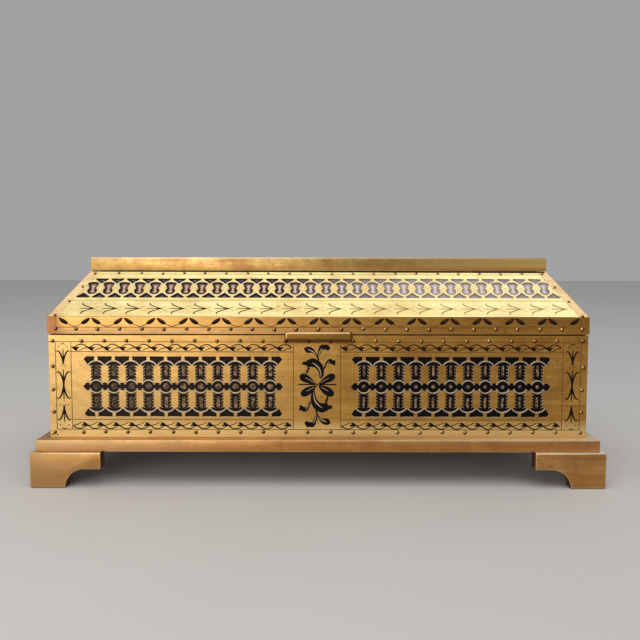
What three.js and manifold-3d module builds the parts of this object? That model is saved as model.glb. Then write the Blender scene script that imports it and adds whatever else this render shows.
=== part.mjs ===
// A brass-clad casket: a wooden box on a plinth with bracket feet, and a hipped lid on two hinges.
// Sizes are in millimetres, +Z is up and the front faces -Y.
// The origin is on the table, under the middle of the box.

import * as THREE from "three";
import { mergeVertices } from "three/addons/utils/BufferGeometryUtils.js";
import Module from "manifold-3d";

const wasm = await Module();
wasm.setup();

// Body
const BODY_WIDTH = 300;
const BODY_DEPTH = 120;
const BODY_HEIGHT = 57.85;
const WALL = 6.5; // carcass boards
const FLOOR = 5.8; // bottom board
const SHEET = 0.8; // brass sheet
const GROUND = 0.6; // black veneer that shows through the piercing
const GLUE = 0.05; // glue line between flat faces
const SHEET_SETBACK = 0.25; // how far a sheet stops short of the edge where lid and body meet

// Plinth and feet
const PLINTH_HEIGHT = 6.5;
const PLINTH_STEP = 5.8; // how far the plinth stands out from the body
const LEDGE_TUCK = 6; // how far the plinth's brass runs in under the body
const FOOT_HEIGHT = 19.7;
const FOOT_STEP = 2.5; // how far the feet stand out from the plinth
const FOOT_LENGTH = 38.8;
const FOOT_THICKNESS = 7.2;
const FOOT_UNDERSIDE = 10.6; // height of the bracket's flat underside
const FOOT_ARCH = 10.6; // radius of the bracket's arch
const FOOT_ARCH_INSET = 9.1; // from the bracket's end to the middle of its arch
const FOOT_LIFT = 0.4; // how far the brass of a foot stops short of the table

// Lid
const SEAM = 0.3; // lid's running gap over the body
const LID_OVERHANG = 0.3;
const RIM_HEIGHT = 9.75;
const SLOPE_RUN = 18.5;
const SLOPE_RISE = 25.1;
const SLOPE_BOARD = 5.5;
const SLOPE_GLUE = 0.1; // glue line between the layers of a slope and at its ends
const MITRE_GAP = 0.3; // between the slopes at a hip
const SLAB_HEIGHT = 7.8;
const SLAB_OVERHANG = 0.2;

// Lift tab
const TAB_WIDTH = 36.6;
const TAB_HEIGHT = 4.4;
const TAB_REACH = 3.2; // how far the tab stands out from the lid
const TAB_RISE = 1.7; // how far the tab laps up over the lid's front
const TAB_CORNER = 1.3;
const TONGUE_WIDTH = 28;
const TONGUE_THICKNESS = 1;
const TONGUE_DEPTH = 7;
const TAB_CLEARANCE = 0.3; // from the tab's back to the lid's sheet

// Hinges
const HINGE_CENTRE = 85; // from the middle of the box
const HINGE_LENGTH = 26;
const LEAF_THICKNESS = 0.9;
const LEAF_DEPTH = 7.3; // how far a leaf runs in over its board
const KNUCKLE_RADIUS = 1.6;
const KNUCKLE_GAP = 0.3;
const KNUCKLE_STANDOFF = 2.2; // from the body's back to the pin's axis
const LID_KNUCKLE = 9.2;
const PIN_RADIUS = 0.6;
const PIN_CLEARANCE = 0.1;
const STOP_LENGTH = 1; // the stop tooth's length along the pin
const STOP_TOOTH = 70; // degrees of the knuckle that the tooth takes
const STOP_START = 60; // degrees from the back to the tooth, with the lid shut
const LID_TRAVEL = 100; // degrees from shut to the stop
const STOP_MARGIN = 3; // degrees left at each end of the tooth's travel
const KNUCKLE_SIDES = 16;
const PIN_SIDES = 12;

// Hinge screws
const SCREW_LENGTH = 6;
const SCREW_RADIUS = 0.7;
const SCREW_HEAD = 1.5;
const SCREW_HEAD_DEPTH = 0.75;
const SCREW_SPACING = 14;
const SCREW_INSET = 4.7; // from the body's back to the screws
const SCREW_CLEARANCE = 0.1;
const SCREW_SIDES = 8;

// Arched fret of the body
const FRET_PITCH = 9.69;
const FRET_RISE = 16.55; // from the fret's middle to its straight edge
const FRET_MARGIN = 7; // least plain brass between a fret and its panel's end
const ARCH_RISE = 14.95; // from the fret's middle to the top of an arch
const ARCH_RADIUS = 5.85;
const ARCH_BAND = 1.1;
const BAR_WIDTH = 1.8; // bar over each arch
const SPINDLE_WIDTH = 5.2; // brass left between two pillars
const SPINDLE_NECK = 2.1; // brass left where two arches meet
const RING_RADIUS = 4.1;
const RING_BAND = 1.05;
const NECK_HEIGHT = 1.3; // the dark bar that runs through the rings
const KNOB_HEIGHT = 3.2;
const KNOB_WIDTH = 2.2;
const FRET_END = 2.15; // how far the fret runs on past its last cell
const PANEL_INNER = 13.1; // from the middle of the front to a panel
const PANEL_OUTER = 13.9; // from a corner of the box to a panel

// Fret of the lid's slopes
const WAIST_PITCH = 8.87;
const WAIST_RISE = 6.2; // from the fret's middle to its straight edge
const WAIST_DROP = 12; // from the slope's upper edge to the fret's middle
const WAIST_MARGIN = 4.9;
const WAIST_HALF_HEIGHT = 3.9;
const WAIST_SHOULDER = 2.85;
const WAIST_HALF_WIDTH = 3;
const WAIST_NECK = 1.75;
const WEDGE_HALF_WIDTH = 3.1;
const WEDGE_DEPTH = 2.9;

// Materials, with the colours that the finishes have
const finish = (color, metalness, roughness) =>
  new THREE.MeshStandardMaterial({ color, metalness, roughness });
const FINISHES = {
  patternBrass: finish("#d6ac58", 1, 0.38),
  plainBrass: finish("#bf8c4e", 1, 0.3),
  hingeBrass: finish("#b08a45", 1, 0.4),
  blackVeneer: finish("#17120f", 0, 0.35),
  carcassWood: finish("#6b4126", 0, 0.6),
};

// Levels, counted up from the table
const plinthBottom = FOOT_HEIGHT;
const plinthTop = plinthBottom + PLINTH_HEIGHT;
const bodyTop = plinthTop + BODY_HEIGHT;
const lidBottom = bodyTop + SEAM;
const rimTop = lidBottom + RIM_HEIGHT;
const slabBottom = rimTop + SLOPE_RISE;
const slabTop = slabBottom + SLAB_HEIGHT;

// Half sizes of the body, its plinth and feet, the lid and the slab on the lid
const bodyHalf = { x: BODY_WIDTH / 2, y: BODY_DEPTH / 2 };
const grown = (half, by) => ({ x: half.x + by, y: half.y + by });
const plinthHalf = grown(bodyHalf, PLINTH_STEP);
const footHalf = grown(plinthHalf, FOOT_STEP);
const lidHalf = grown(bodyHalf, LID_OVERHANG);
const slabHalf = grown(lidHalf, SLAB_OVERHANG - SLOPE_RUN);

// Depths below the outer face of the body's walls, from brass to board
const groundOuter = SHEET + GLUE;
const groundInner = groundOuter + GROUND;
const boardOuter = groundInner + GLUE;
const boardInner = boardOuter + WALL;

const radians = THREE.MathUtils.degToRad;
const slopeAngle = Math.atan2(SLOPE_RISE, SLOPE_RUN);
const slopeLength = Math.hypot(SLOPE_RISE, SLOPE_RUN);

// Solids for cutting and joining
function toSolid(geometry) {
  const bare = geometry.clone();
  bare.deleteAttribute("normal");
  bare.deleteAttribute("uv");
  const merged = mergeVertices(bare, 1e-4);
  return new wasm.Manifold(
    new wasm.Mesh({
      numProp: 3,
      vertProperties: merged.attributes.position.array,
      triVerts: new Uint32Array(merged.index.array),
    }),
  );
}

function toGeometry(solid) {
  const mesh = solid.getMesh();
  const geometry = new THREE.BufferGeometry();
  geometry.setAttribute("position", new THREE.BufferAttribute(mesh.vertProperties, 3));
  geometry.setIndex(new THREE.BufferAttribute(mesh.triVerts, 1));
  geometry.computeVertexNormals();
  return geometry;
}

function cut(geometry, ...tools) {
  return toGeometry(tools.reduce((left, tool) => left.subtract(toSolid(tool)), toSolid(geometry)));
}

function join(...geometries) {
  return toGeometry(geometries.map(toSolid).reduce((sum, next) => sum.add(next)));
}

function common(geometry, other) {
  return toGeometry(toSolid(geometry).intersect(toSolid(other)));
}

// Plain pieces
const middle = ([low, high]) => (low + high) / 2;
const span = ([low, high]) => high - low;
const both = (half) => [-half, half];

function boxGeometry(x, y, z) {
  return new THREE.BoxGeometry(span(x), span(y), span(z)).translate(middle(x), middle(y), middle(z));
}

function piece(name, material, geometry) {
  const mesh = new THREE.Mesh(geometry, FINISHES[material]);
  mesh.name = name;
  return mesh;
}

function block(name, material, x, y, z) {
  const mesh = piece(name, material, new THREE.BoxGeometry(span(x), span(y), span(z)));
  mesh.position.set(middle(x), middle(y), middle(z));
  return mesh;
}

const flatShape = (points) => new THREE.Shape(points.map(([x, y]) => new THREE.Vector2(x, y)));
const extruded = (shape, depth) =>
  new THREE.ExtrudeGeometry(shape, { depth, bevelEnabled: false, curveSegments: 8 });

// A profile of [radius, height] points turned round the Z axis
function spun(profile, segments) {
  const points = profile.map(([radius, height]) => new THREE.Vector2(radius, height));
  return new THREE.LatheGeometry(points, segments).rotateX(Math.PI / 2);
}

// The outline of a board that stands from low to high, with notches {centre, half, depth} in its edges
function stripShape(half, low, high, { topNotches = [], bottomNotches = [] } = {}) {
  const along = ({ centre, half: reach, depth }, edge, inward) => [
    [centre - reach, edge],
    [centre - reach, edge + inward * depth],
    [centre + reach, edge + inward * depth],
    [centre + reach, edge],
  ];
  return flatShape([
    [-half, low],
    ...bottomNotches.flatMap((notch) => along(notch, low, 1)),
    [half, low],
    [half, high],
    ...topNotches.flatMap((notch) => along(notch, high, -1)).reverse(),
    [-half, high],
  ]);
}

// The four sides. Each is built as the front is, facing -Y, and turned into place.
const SIDES = [
  { name: "front", turn: 0, long: true, along: "x", out: "y" },
  { name: "right", turn: Math.PI / 2, long: false, along: "y", out: "x" },
  { name: "back", turn: Math.PI, long: true, along: "x", out: "y" },
  { name: "left", turn: -Math.PI / 2, long: false, along: "y", out: "x" },
];

// Half the length of a layer of a side: the long sides lap over the ends of the short ones
function layerHalf(side, half, outer, inner) {
  return half[side.along] - (side.long ? outer : inner + GLUE);
}

// A layer of a standing wall, between two depths below the wall's outer face
function wallLayer(name, material, shape, reach, outer, inner) {
  const geometry = extruded(shape, inner - outer).rotateX(Math.PI / 2);
  const mesh = piece(name, material, geometry);
  mesh.position.y = inner - reach;
  return mesh;
}

// Hinge places
const hingeCentres = [-HINGE_CENTRE, HINGE_CENTRE];
const axisY = bodyHalf.y + KNUCKLE_STANDOFF;
const axisZ = (bodyTop + lidBottom) / 2;
const screwY = bodyHalf.y - SCREW_INSET;
const screwOffsets = [-SCREW_SPACING / 2, SCREW_SPACING / 2];
const leafNotches = (depth) =>
  hingeCentres.map((centre) => ({ centre, half: HINGE_LENGTH / 2 + GLUE, depth }));

// A countersunk screw that points down from z = 0, or with room round it the space to cut for it
function screwGeometry(room = 0) {
  const head = SCREW_HEAD + room;
  const shank = SCREW_RADIUS + room;
  const profile = [
    [0, -SCREW_LENGTH - room],
    [shank, -SCREW_LENGTH + SCREW_RADIUS],
    [shank, -SCREW_HEAD_DEPTH - room],
    [head, -room],
  ];
  const top = room ? [[head, SCREW_HEAD_DEPTH], [0, SCREW_HEAD_DEPTH]] : [[0, 0]];
  return spun([...profile, ...top], SCREW_SIDES);
}

// The spaces for all the screws of one leaf row, in the back wall's own frame
function screwSpaces(level, flip) {
  return hingeCentres.flatMap((centre) =>
    screwOffsets.map((offset) => {
      const space = screwGeometry(SCREW_CLEARANCE);
      if (flip) space.rotateX(Math.PI);
      return space.translate(centre + offset, -screwY, level);
    }),
  );
}

// Cuts spaces that are given in the wall's frame out of one of its layers
function drill(layer, spaces) {
  const local = spaces.map((space) => space.translate(0, -layer.position.y, 0));
  layer.geometry = cut(layer.geometry, ...local);
  return layer;
}

// Arched fret
const archCentre = ARCH_RISE - ARCH_RADIUS;
const archInside = ARCH_RADIUS - ARCH_BAND;
const pillarHalf = (FRET_PITCH - SPINDLE_WIDTH) / 2;
const capHalf = (FRET_PITCH - SPINDLE_NECK) / 2;
const ringInside = RING_RADIUS - RING_BAND;
const onCircle = (radius, x) => Math.sqrt(radius * radius - x * x);

// The dark pillar above a ring: a cap under the arch on a straight shaft that stands on the ring
function pillarPoints() {
  const capLevel = archCentre + onCircle(archInside, capHalf);
  const shoulder = capLevel - (capHalf - pillarHalf) / 2;
  const upper = [
    [pillarHalf, onCircle(RING_RADIUS, pillarHalf)],
    [pillarHalf, shoulder],
    [capHalf, capLevel],
    [capHalf / 3, archCentre + onCircle(archInside, capHalf / 3)],
  ];
  return [[0, RING_RADIUS], ...upper, ...mirroredX(upper).reverse()];
}

// The dark spandrel between two arches, or past the last one
function spandrelPoints() {
  const level = archCentre + onCircle(ARCH_RADIUS, BAR_WIDTH / 2);
  const apex = archCentre + onCircle(ARCH_RADIUS, FRET_PITCH / 2);
  const half = (FRET_PITCH - BAR_WIDTH) / 2;
  return [
    [-half, FRET_RISE],
    [-half, level],
    [0, apex],
    [half, level],
    [half, FRET_RISE],
  ];
}

function endSpandrelPoints() {
  const [[start], [, level], [, apex]] = spandrelPoints();
  return [
    [start, FRET_RISE],
    [start, level],
    [0, apex],
    [FRET_END, FRET_RISE],
  ];
}

// The upper edge of the dark chain of discs and knobs, along one cell
function chainPoints(centre) {
  const tip = onCircle(ringInside, NECK_HEIGHT / 2);
  const crown = ringInside / 2;
  const knob = FRET_PITCH / 2 - KNOB_WIDTH / 2;
  return [
    [-knob, KNOB_HEIGHT / 2],
    [-tip, NECK_HEIGHT / 2],
    [-crown, onCircle(ringInside, crown)],
    [crown, onCircle(ringInside, crown)],
    [tip, NECK_HEIGHT / 2],
    [knob, KNOB_HEIGHT / 2],
  ].map(([x, y]) => [centre + x, y]);
}

const moved = (points, x, y) => points.map(([a, b]) => [a + x, b + y]);
const mirroredX = (points) => points.map(([x, y]) => [-x, y]);
const mirroredY = (points) => points.map(([x, y]) => [x, -y]);

// All the openings of a fret that fills a panel from low to high, about the height level
function archFret([low, high], level) {
  const cells = Math.floor((high - low - 2 * FRET_MARGIN) / FRET_PITCH);
  const centre = (low + high) / 2;
  const half = (cells * FRET_PITCH) / 2;
  const middles = Array.from({ length: cells }, (_, i) => (i + 0.5) * FRET_PITCH - half);
  const pillars = middles.map((x) => moved(pillarPoints(), x, 0));
  const spandrels = middles.slice(1).map((x) => moved(spandrelPoints(), x - FRET_PITCH / 2, 0));
  const rightEnd = moved(endSpandrelPoints(), half, 0);
  const upper = [...pillars, ...spandrels, rightEnd, mirroredX(rightEnd)];
  const edge = middles.flatMap(chainPoints);
  const chain = [[-half - FRET_END, 0], ...edge, [half + FRET_END, 0], ...mirroredY(edge).reverse()];
  return [...upper, ...upper.map(mirroredY), chain].map((points) => flatShape(moved(points, centre, level)));
}

// Fret of waisted openings on a slope, with a wedge above and below each gap between them
function waistFret(half, level) {
  const cells = Math.floor((2 * (half - WAIST_MARGIN)) / WAIST_PITCH);
  const start = ((1 - cells) / 2) * WAIST_PITCH;
  const middles = Array.from({ length: cells }, (_, i) => start + i * WAIST_PITCH);
  const waist = [
    [0, WAIST_HALF_HEIGHT],
    [WAIST_HALF_WIDTH, WAIST_SHOULDER],
    [WAIST_NECK, 0],
    [WAIST_HALF_WIDTH, -WAIST_SHOULDER],
    [0, -WAIST_HALF_HEIGHT],
    [-WAIST_HALF_WIDTH, -WAIST_SHOULDER],
    [-WAIST_NECK, 0],
    [-WAIST_HALF_WIDTH, WAIST_SHOULDER],
  ];
  const wedge = [
    [-WEDGE_HALF_WIDTH, WAIST_RISE],
    [WEDGE_HALF_WIDTH, WAIST_RISE],
    [0, WAIST_RISE - WEDGE_DEPTH],
  ];
  const gaps = middles.slice(1).map((x) => x - WAIST_PITCH / 2);
  const lowerGaps = [start - WAIST_PITCH / 2, ...gaps, WAIST_PITCH / 2 - start];
  return [
    ...middles.map((x) => moved(waist, x, level)),
    ...gaps.map((x) => moved(wedge, x, level)),
    ...lowerGaps.map((x) => moved(mirroredY(wedge), x, level)),
  ].map(flatShape);
}

// Body
function bodyPanels(side) {
  const edge = bodyHalf[side.along] - PANEL_OUTER;
  if (side.name === "back") return [];
  return side.name === "front"
    ? [[-edge, -PANEL_INNER], [PANEL_INNER, edge]]
    : [both(edge)];
}

function bodyWall(side) {
  const wall = new THREE.Group();
  wall.rotation.z = side.turn;
  const reach = bodyHalf[side.out];
  const low = plinthTop + GLUE;
  const topNotches = side.name === "back" ? leafNotches(LEAF_THICKNESS + GLUE) : [];
  const sheetNotches = topNotches.map((notch) => ({ ...notch, depth: notch.depth - SHEET_SETBACK }));

  const boardShape = stripShape(layerHalf(side, bodyHalf, boardOuter, boardInner), low, bodyTop, { topNotches });
  const board = wallLayer(`${side.name}_board`, "carcassWood", boardShape, reach, boardOuter, boardInner);
  if (side.name === "back") drill(board, screwSpaces(bodyTop, false));

  const groundShape = stripShape(
    layerHalf(side, bodyHalf, groundOuter, groundInner),
    low,
    bodyTop - SHEET_SETBACK,
    { topNotches: sheetNotches },
  );
  const ground = wallLayer(`${side.name}_ground`, "blackVeneer", groundShape, reach, groundOuter, groundInner);

  const sheetShape = stripShape(layerHalf(side, bodyHalf, 0, SHEET), low, bodyTop - SHEET_SETBACK, {
    topNotches: sheetNotches,
  });
  const sheet = wallLayer(`${side.name}_plate`, "patternBrass", sheetShape, reach, 0, SHEET);
  const holes = bodyPanels(side).flatMap((panel) => archFret(panel, (plinthTop + bodyTop) / 2));
  if (holes.length) {
    const through = extruded(holes, 3 * SHEET).translate(0, 0, -SHEET).rotateX(Math.PI / 2);
    sheet.geometry = cut(sheet.geometry, through);
  }

  wall.add(board, ground, sheet);
  return wall;
}

function bottomBoard() {
  const inside = grown(bodyHalf, -boardInner - GLUE);
  const low = plinthTop - SHEET;
  return block("bottom_board", "carcassWood", both(inside.x), both(inside.y), [low, low + FLOOR]);
}

// Plinth and feet
function plinth() {
  const core = grown(plinthHalf, -SHEET - GLUE);
  const coreTop = plinthTop - SHEET - GLUE;
  const board = block("plinth_board", "carcassWood", both(core.x), both(core.y), [plinthBottom, coreTop]);

  const inner = grown(plinthHalf, -SHEET);
  const opening = grown(bodyHalf, -LEDGE_TUCK);
  const cladding = cut(
    boxGeometry(both(plinthHalf.x), both(plinthHalf.y), [plinthBottom, plinthTop]),
    boxGeometry(both(inner.x), both(inner.y), [plinthBottom - SHEET, plinthTop - SHEET]),
    boxGeometry(both(opening.x), both(opening.y), [plinthBottom, plinthTop + SHEET]),
  );
  return [board, piece("plinth_cladding", "plainBrass", cladding)];
}

// One wing of a bracket foot, from its corner to its arch, between two depths below its outer face
function footProfile(outer, low) {
  const top = FOOT_HEIGHT - GLUE;
  const archX = FOOT_LENGTH - FOOT_ARCH_INSET;
  const archZ = FOOT_UNDERSIDE - FOOT_ARCH;
  const toe = archX - onCircle(FOOT_ARCH, low - archZ);
  const profile = new THREE.Shape();
  profile.moveTo(outer, low);
  profile.lineTo(toe, low);
  profile.absarc(archX, archZ, FOOT_ARCH, Math.atan2(low - archZ, toe - archX), Math.PI / 2, true);
  profile.lineTo(FOOT_LENGTH, FOOT_UNDERSIDE);
  profile.lineTo(FOOT_LENGTH, top);
  profile.lineTo(outer, top);
  return profile;
}

// An angled bracket with its corner at the origin and its wings along +X and +Y
function bracketGeometry(outer, inner, low) {
  const wing = extruded(footProfile(outer, low), inner - outer);
  const frontWing = wing.clone().rotateX(Math.PI / 2).translate(0, inner, 0);
  const sideWing = wing.rotateX(Math.PI / 2).rotateZ(Math.PI / 2).translate(outer, 0, 0);
  return join(frontWing, sideWing);
}

const CORNERS = [
  { name: "front_left", x: -1, y: -1, turn: 0 },
  { name: "front_right", x: 1, y: -1, turn: Math.PI / 2 },
  { name: "back_right", x: 1, y: 1, turn: Math.PI },
  { name: "back_left", x: -1, y: 1, turn: -Math.PI / 2 },
];

function foot(corner) {
  const group = new THREE.Group();
  group.position.set(corner.x * footHalf.x, corner.y * footHalf.y, 0);
  group.rotation.z = corner.turn;
  const block = bracketGeometry(SHEET + GLUE, FOOT_THICKNESS, 0);
  const skin = bracketGeometry(0, SHEET, FOOT_LIFT);
  group.add(
    piece(`foot_block_${corner.name}`, "carcassWood", block),
    piece(`foot_plate_${corner.name}`, "plainBrass", skin),
  );
  return group;
}

// Hinges
const knuckleStart = LID_KNUCKLE / 2;
const tooth = { from: STOP_START, to: STOP_START + STOP_TOOTH };
const toothTravel = { from: tooth.from - LID_TRAVEL - STOP_MARGIN, to: tooth.to + STOP_MARGIN };
const boreRadius = PIN_RADIUS + PIN_CLEARANCE;

// A bar of round section along X, over the hinge's axis
function roundBar(radius, [low, high], sides) {
  const bar = new THREE.CylinderGeometry(radius, radius, high - low, sides).rotateZ(Math.PI / 2);
  return bar.translate((low + high) / 2, axisY, axisZ);
}

// A wedge along X about the hinge's axis, between two angles measured from the back towards the top
function wedge({ from, to }, [low, high]) {
  const reach = 2 * KNUCKLE_RADIUS;
  const steps = Math.ceil((to - from) / 30);
  const rim = Array.from({ length: steps + 1 }, (_, i) => {
    const angle = radians(from + ((to - from) * i) / steps);
    return [reach * Math.cos(angle), reach * Math.sin(angle)];
  });
  const fan = extruded(flatShape([[0, 0], ...rim]), high - low).rotateX(Math.PI / 2).rotateZ(Math.PI / 2);
  return fan.translate(low, axisY, axisZ);
}

// A leaf with its knuckles, about the hinge's own middle
function leafGeometry(level, knuckles, screwSigns) {
  const plateBack = axisY - KNUCKLE_RADIUS - KNUCKLE_GAP;
  const plateFront = bodyHalf.y - LEAF_DEPTH;
  const plate = boxGeometry(both(HINGE_LENGTH / 2), [plateFront, plateBack], level);
  const barrels = knuckles.flatMap((length) => [
    boxGeometry(length, [plateBack - LEAF_THICKNESS, axisY], level),
    roundBar(KNUCKLE_RADIUS, length, KNUCKLE_SIDES),
  ]);
  const bore = roundBar(boreRadius / Math.cos(Math.PI / KNUCKLE_SIDES), both(HINGE_LENGTH), KNUCKLE_SIDES);
  const holes = screwOffsets.map((offset) => {
    const space = screwGeometry(SCREW_CLEARANCE);
    if (screwSigns < 0) space.rotateX(Math.PI);
    return space.translate(offset, screwY, screwSigns > 0 ? level[1] : level[0]);
  });
  return cut(join(plate, ...barrels), bore, ...holes);
}

const bodyLeafLevel = [bodyTop - LEAF_THICKNESS, bodyTop];
const lidLeafLevel = [lidBottom, lidBottom + LEAF_THICKNESS];

function bodyLeaf(name) {
  const outer = HINGE_LENGTH / 2;
  const inner = knuckleStart + KNUCKLE_GAP;
  const leaf = leafGeometry(bodyLeafLevel, [[-outer, -inner], [inner, outer]], 1);
  const notch = wedge(toothTravel, [inner - KNUCKLE_GAP, knuckleStart + STOP_LENGTH + KNUCKLE_GAP]);
  return piece(name, "hingeBrass", cut(leaf, notch));
}

function lidLeaf(name) {
  const leaf = leafGeometry(lidLeafLevel, [both(knuckleStart)], -1);
  const reach = [knuckleStart - STOP_LENGTH, knuckleStart + STOP_LENGTH];
  const ring = cut(
    roundBar(KNUCKLE_RADIUS, reach, KNUCKLE_SIDES),
    roundBar(boreRadius / Math.cos(Math.PI / KNUCKLE_SIDES), both(HINGE_LENGTH), KNUCKLE_SIDES),
  );
  return piece(name, "hingeBrass", join(leaf, common(ring, wedge(tooth, reach))));
}

function hingePin(name) {
  return piece(name, "hingeBrass", roundBar(PIN_RADIUS, both(HINGE_LENGTH / 2), PIN_SIDES));
}

const HINGES = [
  { name: "left", x: -HINGE_CENTRE },
  { name: "right", x: HINGE_CENTRE },
];

function placed(mesh, x) {
  mesh.position.x = x;
  return mesh;
}

// The screws of a row of leaves, with their heads flush in the leaves
function leafScrews(row, level, pointsUp) {
  return HINGES.flatMap(({ name, x }) =>
    screwOffsets.map((offset, i) => {
      const mesh = piece(`${row}_screw_${name}_${i + 1}`, "hingeBrass", screwGeometry());
      mesh.position.set(x + offset, screwY, level);
      mesh.rotation.x = pointsUp ? Math.PI : 0;
      return mesh;
    }),
  );
}

// Lid
// A layer of a slope between two depths below its outer face, mitred at the hips and level at its ends
function slopeLayer(side, outer, inner) {
  const across = lidHalf[side.along];
  const reach = lidHalf[side.out];
  const low = rimTop + SLOPE_GLUE;
  const high = slabBottom - SLOPE_GLUE;
  const inset = (depth, level) => depth / Math.sin(slopeAngle) + (level - rimTop) / Math.tan(slopeAngle);
  const mitre = MITRE_GAP / Math.SQRT2;
  const corners = [
    [outer, low],
    [inner, low],
    [inner, high],
    [outer, high],
  ].map(([depth, level]) => [inset(depth, level), level]);
  const ring = (sign) => corners.map(([s, level]) => [sign * (across - s - mitre), s - reach, level]);
  const points = [...ring(-1), ...ring(1)].flat();
  const faces = [
    [0, 2, 1], [0, 3, 2],
    [4, 5, 6], [4, 6, 7],
    [0, 1, 5], [0, 5, 4],
    [1, 2, 6], [1, 6, 5],
    [2, 3, 7], [2, 7, 6],
    [3, 0, 4], [3, 4, 7],
  ];
  const geometry = new THREE.BufferGeometry();
  geometry.setAttribute("position", new THREE.Float32BufferAttribute(points, 3));
  geometry.setIndex(faces.flat());
  geometry.computeVertexNormals();
  return geometry;
}

// The openings of a slope's fret, standing through its sheet
function slopeCutters(side) {
  const level = slopeLength - WAIST_DROP;
  const half = lidHalf[side.along] - level * Math.cos(slopeAngle);
  const holes = extruded(waistFret(half, level), 4 * SHEET).translate(0, 0, -3 * SHEET);
  return holes.rotateX(slopeAngle).translate(0, -lidHalf[side.out], rimTop);
}

function lidSlope(side) {
  const groundDepth = SHEET + SLOPE_GLUE;
  const boardDepth = groundDepth + GROUND + SLOPE_GLUE;
  const sheet = slopeLayer(side, 0, SHEET);
  const fretted = side.name === "back" ? sheet : cut(sheet, slopeCutters(side));
  return [
    piece(`lid_${side.name}_slope_board`, "carcassWood", slopeLayer(side, boardDepth, boardDepth + SLOPE_BOARD)),
    piece(`lid_${side.name}_slope_ground`, "blackVeneer", slopeLayer(side, groundDepth, groundDepth + GROUND)),
    piece(`lid_${side.name}_slope_plate`, "patternBrass", fretted),
  ];
}

// The rim: boards faced with plain sheets
const rimBoardOuter = SHEET + GLUE;
const rimBoardInner = rimBoardOuter + WALL;

function rimNotches(side) {
  if (side.name === "back") return leafNotches(LEAF_THICKNESS + GLUE);
  const tongue = { centre: 0, half: TONGUE_WIDTH / 2 + GLUE, depth: TONGUE_THICKNESS + GLUE };
  return side.name === "front" ? [tongue] : [];
}

function lidRim(side) {
  const bottomNotches = rimNotches(side);
  const reach = lidHalf[side.out];
  const boardShape = stripShape(
    layerHalf(side, lidHalf, rimBoardOuter, rimBoardInner),
    lidBottom,
    rimTop,
    { bottomNotches },
  );
  const board = wallLayer(`lid_${side.name}_rim_board`, "carcassWood", boardShape, reach, rimBoardOuter, rimBoardInner);
  if (side.name === "back") drill(board, screwSpaces(lidBottom, true));

  const sheetNotches = bottomNotches.map((notch) => ({ ...notch, depth: notch.depth - SHEET_SETBACK }));
  const sheetShape = stripShape(layerHalf(side, lidHalf, 0, SHEET), lidBottom + SHEET_SETBACK, rimTop, {
    bottomNotches: sheetNotches,
  });
  const sheet = wallLayer(`lid_${side.name}_rim_plate`, "patternBrass", sheetShape, reach, 0, SHEET);
  return [board, sheet];
}

function lidSide(side) {
  const group = new THREE.Group();
  group.rotation.z = side.turn;
  group.add(...lidRim(side), ...lidSlope(side));
  return group;
}

// The slab on top: a board under a brass cap
function slab() {
  const inner = grown(slabHalf, -SHEET);
  const core = grown(inner, -GLUE);
  const coreTop = slabTop - SHEET - GLUE;
  const board = block("top_board", "carcassWood", both(core.x), both(core.y), [slabBottom, coreTop]);
  const cladding = cut(
    boxGeometry(both(slabHalf.x), both(slabHalf.y), [slabBottom, slabTop]),
    boxGeometry(both(inner.x), both(inner.y), [slabBottom - SHEET, slabTop - SHEET]),
  );
  return [board, piece("top_cladding", "plainBrass", cladding)];
}

// The thumb tab, with a tongue let into the lid's underside
function liftTab() {
  const high = lidBottom + TAB_RISE;
  const low = high - TAB_HEIGHT;
  const half = TAB_WIDTH / 2;
  const outline = new THREE.Shape();
  outline.moveTo(-half, low);
  outline.lineTo(half, low);
  outline.lineTo(half, high - TAB_CORNER);
  outline.absarc(half - TAB_CORNER, high - TAB_CORNER, TAB_CORNER, 0, Math.PI / 2, false);
  outline.absarc(TAB_CORNER - half, high - TAB_CORNER, TAB_CORNER, Math.PI / 2, Math.PI, false);
  const thickness = TAB_REACH - TAB_CLEARANCE;
  const tabBack = -lidHalf.y - TAB_CLEARANCE;
  const grip = extruded(outline, thickness).rotateX(Math.PI / 2).translate(0, tabBack, 0);
  const tongueLevel = [lidBottom, lidBottom + TONGUE_THICKNESS];
  const tongue = boxGeometry(both(TONGUE_WIDTH / 2), [tabBack - thickness / 2, TONGUE_DEPTH - lidHalf.y], tongueLevel);
  return piece("lift_tab", "plainBrass", join(grip, tongue));
}

const body = new THREE.Group();
body.add(
  bottomBoard(),
  ...SIDES.map(bodyWall),
  ...plinth(),
  ...CORNERS.map(foot),
  ...HINGES.map(({ name, x }) => placed(bodyLeaf(`hinge_leaf_${name}`), x)),
  ...HINGES.map(({ name, x }) => placed(hingePin(`hinge_pin_${name}`), x)),
  ...leafScrews("body", bodyTop, false),
);

const lid = new THREE.Group();
lid.add(
  ...SIDES.map(lidSide),
  ...slab(),
  liftTab(),
  ...HINGES.map(({ name, x }) => placed(lidLeaf(`lid_leaf_${name}`), x)),
  ...leafScrews("lid", lidBottom, true),
);

const casket = new THREE.Group();
casket.add(body, lid);

export default casket;
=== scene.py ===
# A brass-clad casket: a wooden box in pierced and engraved sheet brass over black veneer.
# Drawings are in millimetres on the face they belong to; the scene is in metres.

import math
import random

import bpy
from mathutils import Matrix, Vector


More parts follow.
